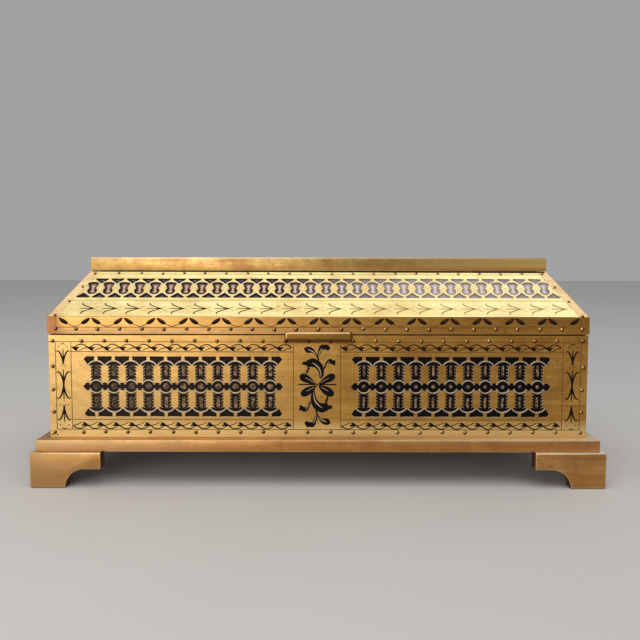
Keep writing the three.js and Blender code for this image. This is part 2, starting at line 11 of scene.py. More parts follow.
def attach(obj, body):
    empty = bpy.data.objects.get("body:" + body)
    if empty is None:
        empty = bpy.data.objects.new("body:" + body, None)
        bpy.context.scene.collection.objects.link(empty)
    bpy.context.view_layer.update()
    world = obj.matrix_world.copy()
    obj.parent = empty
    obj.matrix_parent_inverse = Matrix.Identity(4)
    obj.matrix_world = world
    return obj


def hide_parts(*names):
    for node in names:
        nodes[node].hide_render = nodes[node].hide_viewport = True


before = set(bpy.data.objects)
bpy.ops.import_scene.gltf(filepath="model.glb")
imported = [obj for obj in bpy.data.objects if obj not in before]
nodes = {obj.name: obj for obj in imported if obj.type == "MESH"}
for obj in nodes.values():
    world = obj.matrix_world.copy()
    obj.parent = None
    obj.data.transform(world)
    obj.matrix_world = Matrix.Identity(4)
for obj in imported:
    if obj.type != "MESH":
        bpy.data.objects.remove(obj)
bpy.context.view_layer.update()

MM = 0.001

# Sizes of the casket
BODY_HALF = (150, 60)
LID_HALF = (150.3, 60.3)
PLINTH_HALF = (155.8, 65.8)
FOOT_HALF = (158.3, 68.3)
FOOT_LENGTH = 38.8
FOOT_TOP = 19.65
BODY_LOW = 26.2
BODY_TOP = 84.05
RIM_TOP = 94.1
SHEET = 0.8
SETBACK = 0.25
SLOPE_RUN = 18.5
SLOPE_RISE = 25.1
SLOPE_TILT = math.atan2(SLOPE_RUN, SLOPE_RISE)
SLOPE_LENGTH = math.hypot(SLOPE_RISE, SLOPE_RUN)
HIP_LEAN = SLOPE_RUN / SLOPE_LENGTH

# Each side is drawn as the front is, then turned into place: its turn and its distance from the middle
SIDES = {}
for part, (long_half, short_half) in (("", BODY_HALF), ("lid_", LID_HALF)):
    SIDES[f"{part}front"] = (0, short_half)
    SIDES[f"{part}right"] = (math.pi / 2, long_half)
    SIDES[f"{part}back"] = (math.pi, short_half)
    SIDES[f"{part}left"] = (-math.pi / 2, long_half)


# Handling pieces

def select_only(*pieces):
    bpy.ops.object.select_all(action="DESELECT")
    for piece in pieces:
        piece.select_set(True)
    bpy.context.view_layer.objects.active = pieces[0]


def apply_place(piece):
    select_only(piece)
    bpy.ops.object.transform_apply(location=True, rotation=True, scale=True)


def join(name, pieces):
    select_only(*pieces)
    if len(pieces) > 1:
        bpy.ops.object.join()
    joined = bpy.context.view_layer.objects.active
    joined.name = name
    joined.data.name = name
    return joined


def own_copy(piece, name):
    """A copy of a piece with its own mesh."""
    copy = piece.copy()
    copy.data = piece.data.copy()
    copy.name = name
    copy.data.name = name
    bpy.context.collection.objects.link(copy)
    return copy


def repeat(name, piece, places):
    """Copies of a piece at (x, y), or at (x, y, turn in degrees), joined; the first piece goes."""
    made = []
    for x, y, *turn in places:
        copy = own_copy(piece, name)
        copy.location = (x, y, 0)
        copy.rotation_euler.z = math.radians(sum(turn))
        made.append(copy)
    bpy.data.objects.remove(piece)
    row = join(name, made)
    apply_place(row)
    return row


def lay(piece, side, tilt, base):
    """Puts a drawing on its face: up the wall from the height base, leaning back by tilt."""
    turn, reach = side
    piece.scale = (MM, MM, MM)
    piece.rotation_euler = (math.pi / 2 - tilt, 0, turn)
    piece.location = Matrix.Rotation(turn, 4, "Z") @ (Vector((0, -reach, base)) * MM)
    apply_place(piece)


def finish_piece(piece, body, material, stands_for=None):
    """Gives a piece its finish, the body it rides on, and the solid that it stands for."""
    if material:
        piece.data.materials.clear()
        piece.data.materials.append(material)
    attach(piece, body)
    if stands_for:
        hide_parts(stands_for)


def mount(piece, names, material, slot=None, solid=None, tilt=0, base=0):
    """Lays a drawing on each of the named sides; solid ends the name of what it stands for."""
    for name in names:
        copy = own_copy(piece, f"{name}_{piece.name}")
        lay(copy, SIDES[name], tilt, base)
        body = "lid" if name.startswith("lid") else "box"
        finish_piece(copy, body, material, f"{name}_{solid}" if solid else None)
    bpy.data.objects.remove(piece)


# Drawing

def cutout(name, outlines, low, high, chamfer=0):
    """A flat shape with holes, cut from sheet between two depths, with its edges eased by chamfer."""
    bpy.ops.object.select_all(action="DESELECT")
    bpy.ops.object.add(type="CURVE")
    drawing = bpy.context.object
    drawing.name = name
    curve = drawing.data
    curve.dimensions = "2D"
    curve.fill_mode = "BOTH"
    for outline in outlines:
        spline = curve.splines.new("POLY")
        spline.points.add(len(outline) - 1)
        for point, (x, y) in zip(spline.points, outline):
            point.co = (x, y, 0, 1)
        spline.use_cyclic_u = True
    curve.extrude = (high - low) / 2 - chamfer
    curve.bevel_depth = chamfer
    curve.bevel_resolution = 0
    curve.offset = -chamfer
    bpy.ops.object.convert(target="MESH")
    drawing = bpy.context.object
    drawing.data.transform(Matrix.Translation((0, 0, (low + high) / 2)))
    bpy.ops.object.mode_set(mode="EDIT")
    bpy.ops.mesh.select_all(action="SELECT")
    bpy.ops.mesh.remove_doubles(threshold=0.0005)
    bpy.ops.mesh.normals_make_consistent(inside=False)
    bpy.ops.object.mode_set(mode="OBJECT")
    return drawing


def between(a, b, c, d, t):
    """A point on the smooth line from b to c, with a before it and d after it."""
    return tuple(
        0.5 * (2 * q + (r - p) * t + (2 * p - 5 * q + 4 * r - s) * t * t + (3 * q - p - 3 * r + s) * t ** 3)
        for p, q, r, s in zip(a, b, c, d)
    )


def smooth(points, steps=4):
    """A smooth line through the points."""
    ends = [points[0], *points, points[-1]]
    line = [
        between(a, b, c, d, step / steps)
        for a, b, c, d in zip(ends, ends[1:], ends[2:], ends[3:])
        for step in range(steps)
    ]
    return [*line, points[-1]]


def closed(points, steps=3):
    """A smooth closed outline through the points."""
    count = len(points)
    return [
        between(*(points[(i + k) % count] for k in (-1, 0, 1, 2)), step / steps)
        for i in range(count)
        for step in range(steps)
    ]


def stroke(points, steps=4):
    """The outline of a stroke through points of x, y and width."""
    line = smooth(points, steps) if len(points) > 2 else points
    left, right = [], []
    for i, (x, y, width) in enumerate(line):
        before = line[max(i - 1, 0)]
        after = line[min(i + 1, len(line) - 1)]
        dx, dy = after[0] - before[0], after[1] - before[1]
        length = math.hypot(dx, dy) or 1
        half = max(width, 0.06) / 2
        left.append((x - dy / length * half, y + dx / length * half))
        right.append((x + dy / length * half, y - dx / length * half))
    return left + right[::-1]


def arc(x, y, radius, start, end, steps):
    """Points on a circle, between two angles in degrees."""
    angles = [math.radians(start + (end - start) * i / steps) for i in range(steps + 1)]
    return [(x + radius * math.cos(a), y + radius * math.sin(a)) for a in angles]


def disc(x, y, radius, sides):
    return arc(x, y, radius, 0, 360, sides)[:-1]


def band(x, y, inner, outer, start, end, steps):
    """A curved band between two circles."""
    return arc(x, y, outer, start, end, steps) + arc(x, y, inner, end, start, steps)


def moved(outline, x, y):
    return [(point[0] + x, point[1] + y, *point[2:]) for point in outline]


def mirror_x(outline):
    return [(-point[0], *point[1:]) for point in outline]


def mirror_y(outline):
    return [(point[0], -point[1], *point[2:]) for point in outline]


def about(outline):
    """An outline turned half round about the origin."""
    return mirror_x(mirror_y(outline))


def rectangle(x0, x1, y0, y1):
    return [(x0, y0), (x1, y0), (x1, y1), (x0, y1)]


def line_at(x0, y0, x1, y1, width=0.4):
    return stroke([(x0, y0, width), (x1, y1, width)])


def inlay(name, outlines, rise=0.03, depth=0.12):
    """Filled engraving: each outline is cut by itself, so strokes may cross."""
    cuts = [
        cutout(f"{name}_{i}", [outline], rise - depth, rise + 0.004 * (i % 3))
        for i, outline in enumerate(outlines)
    ]
    return join(name, cuts)


def raised(name, outlines, low, high, chamfer):
    """Separate shapes cut from sheet, joined in one piece."""
    cuts = [cutout(f"{name}_{i}", [outline], low, high, chamfer) for i, outline in enumerate(outlines)]
    return join(name, cuts)


def two_finishes(piece, face, edge):
    """Gives a cut sheet one finish on its face and another on its filed edges."""
    piece.data.materials.clear()
    piece.data.materials.append(face)
    piece.data.materials.append(edge)
    for polygon in piece.data.polygons:
        polygon.material_index = int(abs(polygon.normal.z) < 0.95)


def dome(radius, height):
    """A round nail head, driven in to half its depth."""
    bpy.ops.object.select_all(action="DESELECT")
    bpy.ops.mesh.primitive_uv_sphere_add(segments=12, ring_count=8, radius=radius)
    head = bpy.context.object
    bpy.ops.object.mode_set(mode="EDIT")
    bpy.ops.mesh.select_all(action="SELECT")
    bpy.ops.transform.resize(value=(1, 1, height / radius))
    bpy.ops.object.mode_set(mode="OBJECT")
    bpy.ops.object.shade_smooth()
    return head


# The arched fret of the body, drawn about the middle of one of its columns
FRET_PITCH = 9.69
FRET_TOP = 16.9
ARCH_LEVEL = 9.1
ARCH_OUTER = 5.85
ARCH_INNER = 4.85
RING_OUTER = 4.05
RING_INNER = 3.15
BARB_PITCH = 1.78
BARB_TIP = 1.85
BARB_ROOT = 2.92
BARBS = [12.2 - BARB_PITCH * i for i in range(5)]


def pillar():
    """The dark pillar over a ring: an arched cap on a shaft between the upswept barbs of two feathers."""
    right = arc(0, ARCH_LEVEL, ARCH_INNER, 90, 35, 5)
    for level in BARBS:
        right += [(BARB_ROOT, level - 0.7), (BARB_TIP, level)]
        right += [(BARB_TIP, level - 0.4), (BARB_ROOT, level - 1.5)]
    right += arc(0, 0, RING_OUTER + 0.05, 44, 78, 3)
    return right + mirror_x(right[::-1])


def spandrel():
    """The dark web between two arches, drawn about the middle of their gap."""
    half = FRET_PITCH / 2
    right = [(half - 0.8, FRET_TOP), *arc(half, ARCH_LEVEL, ARCH_OUTER, 100.5, 146, 5)]
    return [*right, *mirror_x(right[::-1])]


def end_spandrel():
    """The web past the last arch on the left, drawn about that arch's column."""
    edge = arc(0, ARCH_LEVEL, ARCH_OUTER, 100.5, 145, 5)
    return [(-0.8, FRET_TOP), *edge, (-6.8, 15.4), (-5.4, FRET_TOP)]


def chain_edge():
    """The upper edge of the dark chain of discs and knobs along one column, from left to right."""
    half = FRET_PITCH / 2
    left = [(-half, 2.1), (-4.25, 2.05), (-3.6, 1.92), (-3.95, 1.25), (-3.75, 1.05), (-2.96, 1.05)]
    return [*left, *arc(0, 0, RING_INNER, 160, 20, 10), *mirror_x(left[:0:-1])]


def arch_fret(columns):
    """Openings of a fret of so many columns, and the columns' places, drawn about its middle."""
    middles = [(i - (columns - 1) / 2) * FRET_PITCH for i in range(columns)]
    gaps = [x + FRET_PITCH / 2 for x in middles[:-1]]
    webs = [moved(spandrel(), x, 0) for x in gaps]
    ends = [moved(end_spandrel(), middles[0], 0)]
    ends += [mirror_x(end) for end in ends]
    upper = [moved(pillar(), x, 0) for x in middles] + webs + ends
    tip = middles[-1] + 7.2
    last = [(middles[-1] + x, y) for x, y in ((4.9, 2.1), (5.8, 1.9), (6.1, 1.2), (6.8, 0.55))]
    edge = [point for x in middles for point in moved(chain_edge()[(x == middles[0]):], x, 0)]
    edge = mirror_x(last[::-1]) + edge[:-1] + last
    chain = [(-tip, 0), *edge, (tip, 0), *mirror_y(edge[::-1])]
    return upper + [mirror_y(hole) for hole in upper] + [chain], middles


def column_bands():
    """The raised rims of one column: an arch over a ring, and the same below."""
    ring = band(0, 0, RING_INNER + 0.05, RING_OUTER - 0.02, 19, 161, 14)
    arch = band(0, ARCH_LEVEL, ARCH_INNER + 0.05, ARCH_OUTER - 0.05, 33, 147, 12)
    return [ring, arch, mirror_y(ring), mirror_y(arch)]


def column_core(width, spot):
    """Where the black of one column has worn thin: a strip up each pillar and a spot in the ring."""
    worn = [(0, 5.9, 0.7), (0.08, 7.4, 1), (-0.1, 9.0, 0.8), (0.06, 10.6, 1), (0, 12.0, 0.6)]
    strip = stroke([(x, y, width * share) for x, y, share in worn], 3)
    return [strip, mirror_y(strip), disc(0, 0, spot, 10)]


# The fret of the lid's slopes, drawn about one of its waisted openings, up the slope from the rim
WAIST_PITCH = 8.87
WAIST_RIGHT = [
    (0, 23.35), (1.7, 23.1), (3.15, 22.35), (3.0, 21.5), (2.75, 21.4), (2.65, 20.5), (2.4, 20.4),
    (2.2, 19.6), (1.8, 18.85), (2.3, 18.5), (2.75, 17.6), (2.65, 16.5), (1.85, 15.3), (0, 14.75),
]
UPPER_WEDGE = [(-3.5, 25.7), (3.5, 25.7), (3.5, 24.75), (1.8, 23.5), (0, 22.1), (-1.8, 23.5), (-3.5, 24.75)]
LOWER_WEDGE = [(-3.6, 12.65), (3.6, 12.65), (3.6, 13.5), (1.9, 14.6), (0, 16.1), (-1.9, 14.6), (-3.6, 13.5)]
UPPER_SLIVER = [(-1.7, 25.4), (-0.8, 25.4), (-3.1, 23.2), (-3.7, 23.9)]
LOWER_SLIVER = [(-6.2, 18.5), (-5.4, 18.5), (-7.4, 16.1), (-8.4, 16.1)]

# Where the black behind those openings has worn thin
WAIST_CORE = [
    (-2.0, 22.0), (0, 22.5), (2.0, 22.0), (1.15, 19.6), (1.0, 18.3),
    (1.75, 16.6), (0, 15.7), (-1.75, 16.6), (-1.0, 18.3), (-1.15, 19.6),
]
WAIST_HEART = [
    (0, 21.6), (1.0, 21.3), (0.6, 19.7), (0.5, 18.2), (0.9, 17.0),
    (0, 16.5), (-0.9, 17.0), (-0.5, 18.2), (-0.6, 19.7), (-1.0, 21.3),
]
WEDGE_CORES = [[(-1.4, 13.5), (1.4, 13.5), (0, 14.7)], [(-1.4, 24.95), (0, 23.7), (1.4, 24.95)]]


def waist_fret(cells):
    """Openings of a fret of so many waisted openings, and their places, drawn about its middle."""
    middles = [(i - (cells - 1) / 2) * WAIST_PITCH for i in range(cells)]
    gaps = [x + WAIST_PITCH / 2 for x in middles[:-1]]
    waist = WAIST_RIGHT + mirror_x(WAIST_RIGHT[-2:0:-1])
    holes = [moved(waist, x, 0) for x in middles]
    holes += [moved(UPPER_WEDGE, x, 0) for x in gaps]
    holes += [moved(LOWER_WEDGE, x, 0) for x in (gaps[0] - WAIST_PITCH, *gaps, gaps[-1] + WAIST_PITCH)]
    slivers = [moved(sliver, middles[0], 0) for sliver in (UPPER_SLIVER, LOWER_SLIVER)]
    return holes + slivers + [mirror_x(sliver) for sliver in slivers], middles


def waist_bands():
    """The raised ring round one waisted opening, in two halves."""
    return [band(0, 19.1, 4.55, 5.15, start, start + 180, 10) for start in (0, 180)]


# Engraved ornament

VINE_PITCH = 8.72
VINE_LEVELS = (76.45, 33.35)
VINE_LEAF = [
    (-2.3, 0.95), (-1.3, 0.85), (-0.5, 0.95), (0.4, 1.6), (0.3, 0.7), (1.1, 0.8), (2.15, 0.65),
    (1.6, -0.15), (0.9, -0.4), (1.35, -0.95), (0.95, -1.5), (-0.2, -1.2), (-1.1, -0.5), (-1.9, 0.2),
]
VINE_STEM = [(0.1, 1.1, 0.45), (1.7, 1.95, 0.54), (3.3, 2.2, 0.58), (5.0, 1.8, 0.62), (6.7, 0.5, 0.85)]
VINE_TENDRIL = [(1.7, -1.5, 0.2), (2.9, -1.0, 0.4), (4.1, -0.25, 0.42), (5.3, 0.05, 0.42), (6.7, 0.4, 0.45)]


def vine(spans):
    """A running vine over and under a panel; it rises from each leaf to the next."""
    leaf = inlay("leaf", [closed(VINE_LEAF), stroke(VINE_STEM), stroke(VINE_TENDRIL)])
    over, under = VINE_LEVELS
    places = []
    for start, end in spans:
        for i in range(int((end - start) / VINE_PITCH)):
            places.append((start + 2.5 + i * VINE_PITCH, over))
            places.append((end - 3.1 - i * VINE_PITCH, under, 180))
    return repeat("vine", leaf, places)


def palmette(top, foot):
    """A spike between two curls that spring from its foot and roll outwards; on x = 0."""
    height = top - foot
    curl = [
        (0.12, foot, 0.6), (0.45, foot + height * 0.26, 0.85), (1.15, foot + height * 0.54, 0.9),
        (2.15, foot + height * 0.76, 0.8), (3.1, foot + height * 0.82, 0.62),
        (3.9, foot + height * 0.74, 0.25),
    ]
    spike = [
        (0, top, 0.2), (0, foot + height * 0.75, 0.62), (0, foot + height * 0.4, 0.7), (0, foot, 1.1),
        (0, foot - height * 0.1, 0.4),
    ]
    return [stroke(curl), stroke(mirror_x(curl)), stroke(spike)]


PALMETTES_MIDDLE = 55.05


def palmette_column():
    """The upright row of palmettes by a corner of the body, with its heights above the table."""
    shapes = palmette(76.4, 68.2) + palmette(64.7, 56.5) + palmette(46.5, 55.7) + palmette(34.4, 43.4)
    shapes.append(stroke([(0, 57.8, 0.6), (0, 54.4, 0.6)]))
    for z in (77.3, 44.8, 33.2):
        shapes += [disc(x, z, 0.36, 8) for x in (-2.4, 2.4)]
    for z in (66.6, 44.6):
        slant = [(0.3, z + 0.3, 0.2), (1.6, z - 0.5, 0.24)]
        shapes += [stroke(slant), stroke(mirror_x(slant))]
    smile = [(-1.3, 31.9, 0.25), (-0.7, 31.3, 0.4), (0, 31.1, 0.42), (0.7, 31.3, 0.4), (1.3, 31.9, 0.25)]
    brow = [(x, PALMETTES_MIDDLE * 2 - z, width) for x, z, width in smile]
    return shapes + [stroke(smile), stroke(brow)]


# The flower on the front, drawn about its own middle
PETALS = [
    [
        (0.8, 0.4), (2.6, 2.7), (4.9, 4.9), (7.1, 6.1), (9.1, 6.0),
        (10.0, 4.7), (9.6, 3.2), (8.3, 1.9), (5.8, 1.0), (2.9, 0.2),
    ],
    [
        (-0.9, 0.5), (-2.7, 2.7), (-4.6, 4.7), (-6.6, 6.0), (-8.7, 6.1),
        (-9.9, 4.6), (-9.5, 2.7), (-7.9, 1.5), (-5.6, 0.8), (-2.7, 0.2),
    ],
    [
        (-0.8, -0.5), (-3.4, -0.9), (-6.4, -1.8), (-8.6, -3.5), (-9.4, -5.3),
        (-8.4, -6.7), (-6.5, -6.8), (-4.2, -5.7), (-2.1, -3.7), (-0.8, -1.7),
    ],
    [
        (0.7, -1.2), (1.2, -0.4), (3.7, -0.7), (6.6, -1.7), (8.8, -3.5),
        (9.4, -5.4), (8.4, -6.8), (6.4, -6.8), (4.1, -5.7), (2.2, -3.7),
    ],
]
PLUME = [
    (1.45, 3.4), (2.6, 3.5), (3.45, 5.0), (3.75, 7.4), (3.4, 9.8), (2.3, 11.9), (0.8, 13.4),
    (-1.2, 14.4), (-3.4, 14.7), (-4.7, 14.0), (-5.9, 13.6), (-6.4, 12.9), (-7.6, 12.9), (-8.4, 12.1),
    (-8.2, 11.1), (-7.2, 10.9), (-6.2, 10.7), (-5.6, 9.8), (-4.7, 9.3), (-4.0, 9.8), (-2.0, 9.7),
    (-0.6, 8.8), (0.5, 7.2), (1.0, 5.4),
]
SIDE_LEAF = [
    (3.6, 9.2), (4.3, 8.9), (5.4, 10.6), (6.6, 11.8), (7.6, 11.7), (8.4, 11.2), (9.4, 10.7), (10.2, 11.3),
    (9.8, 12.1), (10.3, 12.9), (9.5, 13.7), (8.5, 13.6), (7.9, 14.3), (6.8, 14.3), (5.6, 13.6), (4.5, 12.0),
]
TOP_BUD = [
    (-0.5, 16.2), (-1.7, 17.3), (-3.4, 17.8), (-5.5, 17.7), (-6.8, 18.7), (-7.4, 20.1), (-6.3, 21.1),
    (-4.2, 21.1), (-2.6, 20.3), (-1.3, 18.8), (-0.3, 17.1),
]
TOP_LEAF = [
    (-0.1, 15.9), (0.2, 18.0), (0.6, 19.8), (1.4, 21.6), (2.9, 22.5), (4.0, 22.2), (4.9, 22.5), (6.3, 22.0),
    (6.4, 21.2), (7.2, 20.7), (6.7, 19.6), (5.5, 19.1), (4.7, 19.8), (3.9, 19.5), (2.9, 19.7), (1.9, 17.9),
    (1.0, 16.1), (0.3, 14.8),
]
LOWER_STRETCH = 1.08


def lower(shapes):
    """The flower's lower half: its upper one turned about the middle and drawn a little taller."""
    return [[(x, y * LOWER_STRETCH) for x, y in about(shape)] for shape in shapes]


def flower():
    """Dark shapes of the flower, and the bright streaks left standing in them."""
    half = [closed(PLUME), closed(SIDE_LEAF), closed(TOP_BUD), closed(TOP_LEAF)]
    half.append(stroke([(-4.5, 9.4, 0.9), (-5.4, 8.0, 1.2), (-5.9, 6.2, 1.0)]))
    half.append(stroke([(0.9, 13.5, 0.9), (0.2, 14.9, 0.8), (-0.5, 16.6, 0.4)]))
    streaks = [
        stroke([(2.1, 3.9, 0.2), (1.9, 6.2, 0.42), (1.1, 8.8, 0.66), (-0.7, 10.8, 0.6), (-2.8, 12.3, 0.2)]),
        stroke([(4.6, 9.9, 0.2), (5.5, 11.5, 0.42), (6.6, 12.9, 0.2)]),
        stroke([(-1.0, 17.5, 0.2), (-2.9, 18.7, 0.55), (-5.2, 19.7, 0.3)]),
        stroke([(0.6, 16.0, 0.2), (1.4, 18.6, 0.45), (2.4, 20.2, 0.25)]),
    ]
    shapes = [closed(petal) for petal in PETALS] + half + lower(half)
    shapes += [line_at(1.1, 0, 10.7, 0, 0.72), line_at(-1.1, 0, -10.7, 0, 0.72), disc(0, 0, 0.65, 8)]
    root = [(1.0, 0, 0.9), (3.0, 0, 0.5), (5.0, 0, 0.3)]
    shapes += [stroke(root), stroke(mirror_x(root))]
    streaks += lower(streaks)
    streaks += [
        stroke([(1.6, 0.9, 0.16), (4.0, 2.3, 0.28), (6.5, 3.7, 0.14)]),
        stroke([(-1.6, 0.9, 0.16), (-4.2, 2.5, 0.28), (-6.7, 4.0, 0.14)]),
        stroke([(-1.3, -1.4, 0.16), (-3.8, -2.6, 0.28), (-6.2, -3.9, 0.14)]),
        stroke([(2.0, -1.4, 0.16), (4.2, -2.6, 0.28), (6.2, -3.9, 0.14)]),
    ]
    return shapes, streaks


# The garland on the lid's rim, with its heights above the table, and how far it is set to the right
GARLAND_PITCH = 18.07
GARLAND_SHIFT = 0.45
GARLAND_LEAF = [
    (-8.6, 93.5), (-6.6, 93.0), (-4.6, 91.8), (-3.5, 90.3), (-5.2, 89.8), (-7.2, 90.9), (-8.3, 92.3),
]
GARLAND_ROPE = [(-3.9, 90.2, 0.3), (-2.3, 89.3, 0.4), (0, 88.75, 0.46), (2.3, 89.3, 0.4), (3.9, 90.2, 0.3)]
GARLAND_VEIN = [(-7.8, 92.9, 0.1), (-6.4, 92.2, 0.24), (-5.0, 91.3, 0.1)]


def spaced(count, pitch, level):
    """Places in a row about the middle of a side."""
    return [((i - (count - 1) / 2) * pitch, level) for i in range(count)]


# The sprigs along the foot of a slope, and how far their row is set to the left
ARROW_PITCH = 12.55
ARROW_LEVEL = 5.35
ARROW_SHIFT = 2.4


def arrow():
    """One arrow-shaped sprig of the row along the foot of a slope."""
    curl = [(8.6, 0.1, 0.45), (7.2, 0.52, 0.5), (5.3, 1.15, 0.52), (3.7, 1.75, 0.6)]
    curl += [(2.7, 2.3, 0.64), (2.1, 3.0, 0.6), (2.5, 3.75, 0.3)]
    spike = [(0.5, 0, 0.2), (2.5, 0, 0.42), (6.0, 0, 0.5), (8.0, 0, 0.75), (9.6, 0, 0.2)]
    fork = [(9.4, 0.1, 0.1), (10.7, 0.9, 0.16), (12.0, 1.7, 0.1)]
    return [stroke(spike), stroke(curl), mirror_y(stroke(curl)), stroke(fork), mirror_y(stroke(fork))]


# Materials

def linear(hex_colour):
    """An sRGB hex colour as the linear colour that a shader takes."""
    parts = [int(hex_colour[i:i + 2], 16) / 255 for i in (1, 3, 5)]
    return (*[c / 12.92 if c <= 0.04045 else ((c + 0.055) / 1.055) ** 2.4 for c in parts], 1)


def add_node(material, kind, inputs=None, out=0, **settings):
    """Adds a node to a material, with its own settings and with values, hex colours or links for
    its sockets, and gives its output of that number or name."""
    added = material.node_tree.nodes.new(kind)
    for name, value in settings.items():
        setattr(added, name, value)
    for socket, value in (inputs or {}).items():
        if isinstance(value, bpy.types.NodeSocket):
            material.node_tree.links.new(value, added.inputs[socket])
        else:
            added.inputs[socket].default_value = linear(value) if isinstance(value, str) else value
    return added.outputs[out] if added.outputs else None


def new_material(name):
    material = bpy.data.materials.new(name)
    material.use_nodes = True
    material.node_tree.nodes.clear()
    return material


def grain(material, scale, detail, stretch=(1, 1, 1)):
    """Noise on the object's own coordinates, stretched along some axes; scale is in spots per metre."""
    place = add_node(material, "ShaderNodeTexCoord", out="Object")
    place = add_node(material, "ShaderNodeMapping", {"Vector": place, "Scale": stretch})
    spots = {"Vector": place, "Scale": scale, "Detail": detail, "Roughness": 0.55}
    return add_node(material, "ShaderNodeTexNoise", spots)


def along(material, axis, start, end):
    """0 to 1 along an axis of the casket, between two places in millimetres from its middle."""
    place = add_node(material, "ShaderNodeTexCoord", out="Object")
    value = add_node(material, "ShaderNodeSeparateXYZ", {"Vector": place}, out=axis)
    ends = {"Value": value, "From Min": start * MM, "From Max": end * MM}
    return add_node(material, "ShaderNodeMapRange", ends)


def layered(material, colour, layers):
    """A colour with others laid over it, each by its own amount: (amount, colour)."""
    for amount, layer in layers:
        sockets = {0: amount, 6: colour, 7: layer}
        colour = add_node(material, "ShaderNodeMix", sockets, out=2, data_type="RGBA")
    return colour


def sheet_brass(name, light, deep, tarnish, stain, roughness, blotch=0.4, zones=(), metal=1.0):
    """Rolled sheet brass, hand-polished along its length and lacquered long ago: fine level lines,
    soft blotches of tarnish some 15 mm across, mottling of 5 mm and reddish freckles of 1 to 2 mm.
    zones are areas of another colour: (colour, ((axis, where it begins, where it is full), ...)).
    metal is under 1 on tops drawn pale as painted light, so that they catch the lamp above."""
    material = new_material(name)
    blotches, mottles, freckles = [
        add_node(material, "ShaderNodeMapRange", {"Value": spots, "From Min": low, "From Max": high})
        for spots, low, high in (
            (grain(material, 60, 4), 0.42, 0.68),
            (grain(material, 150, 5), 0.42, 0.7),
            (grain(material, 420, 3), 0.6, 0.72),
        )
    ]
    # Polishing scratches are about 0.1 mm apart; they are drawn 0.7 mm apart so that they show
    scratches = grain(material, 1, 5, (35, 35, 1500))
    # The rolls left bands of slightly different colour, some 4 mm wide
    bands = grain(material, 1, 3, (12, 12, 260))
    tone = add_node(material, "ShaderNodeMath", {0: scratches, 1: bands}, operation="ADD")
    layers = [
        (add_node(material, "ShaderNodeMapRange", {"Value": tone, "From Min": 0.8, "From Max": 1.2}), deep),
        (add_node(material, "ShaderNodeMapRange", {"Value": blotches, "To Max": blotch}), tarnish),
        (add_node(material, "ShaderNodeMapRange", {"Value": mottles, "To Max": blotch * 0.55}), tarnish),
        (add_node(material, "ShaderNodeMapRange", {"Value": freckles, "To Max": 0.5}), stain),
    ]
    for zone_colour, (first, *others) in zones:
        amount = along(material, *first)
        for ramp in others:
            both = {0: amount, 1: along(material, *ramp)}
            amount = add_node(material, "ShaderNodeMath", both, operation="MULTIPLY")
        layers.append((amount, zone_colour))
    rough = add_node(
        material,
        "ShaderNodeMapRange",
        {
            "Value": scratches,
            "From Min": 0.25,
            "From Max": 0.75,
            "To Min": roughness - 0.05,
            "To Max": roughness + 0.08,
        },
    )
    dulling = add_node(material, "ShaderNodeMapRange", {"Value": blotches, "To Max": 0.08})
    # No sheet is quite flat: it was beaten out and pressed down between its nails
    waves = add_node(
        material,
        "ShaderNodeBump",
        {"Height": grain(material, 110, 3), "Strength": 0.6, "Distance": 0.0005},
    )
    bump = add_node(
        material,
        "ShaderNodeBump",
        {"Height": scratches, "Strength": 0.25, "Distance": 0.00005, "Normal": waves},
    )
    shader = add_node(
        material,
        "ShaderNodeBsdfPrincipled",
        {
            "Base Color": layered(material, light, layers),
            "Metallic": metal,
            "Roughness": add_node(material, "ShaderNodeMath", {0: rough, 1: dulling}, operation="ADD"),
            "Coat Weight": 0.3,
            "Coat Roughness": 0.35,
            "Normal": bump,
        },
    )
    add_node(material, "ShaderNodeOutputMaterial", {"Surface": shader})
    return material


def lacquer(name, colour, haze, roughness, most=0.6, painted_reflection=None, spots=260):
    """Black lacquer over veneer, rubbed to a low gloss, with a haze of another colour where it has
    worn thin, in spots of 4 mm or finer. painted_reflection gives a second haze, a painted reflection
    of the lamps, and where along X it starts and is full."""
    material = new_material(name)
    worn = add_node(
        material,
        "ShaderNodeMapRange",
        {"Value": grain(material, spots, 4), "From Min": 0.42, "From Max": 0.66, "To Max": most},
    )
    layers = [(worn, haze)]
    if painted_reflection:
        cloud = add_node(
            material,
            "ShaderNodeMapRange",
            {"Value": grain(material, 150, 3), "From Min": 0.3, "From Max": 0.6, "To Min": 0.75},
        )
        both = {0: along(material, "X", *painted_reflection[1:]), 1: cloud}
        layers.append((add_node(material, "ShaderNodeMath", both, operation="MULTIPLY"), painted_reflection[0]))
    rough = add_node(
        material,
        "ShaderNodeMapRange",
        {
            "Value": grain(material, 900, 2),
            "From Min": 0.3,
            "From Max": 0.7,
            "To Min": roughness,
            "To Max": roughness + 0.15,
        },
    )
    bump = add_node(
        material,
        "ShaderNodeBump",
        {"Height": grain(material, 1100, 3), "Strength": 0.2, "Distance": 0.00005},
    )
    shader = add_node(
        material,
        "ShaderNodeBsdfPrincipled",
        {
            "Base Color": layered(material, colour, layers),
            "Roughness": rough,
            "IOR": 1.4,
            "Specular IOR Level": 0.2,
            "Normal": bump,
        },
    )
    add_node(material, "ShaderNodeOutputMaterial", {"Surface": shader})
    return material


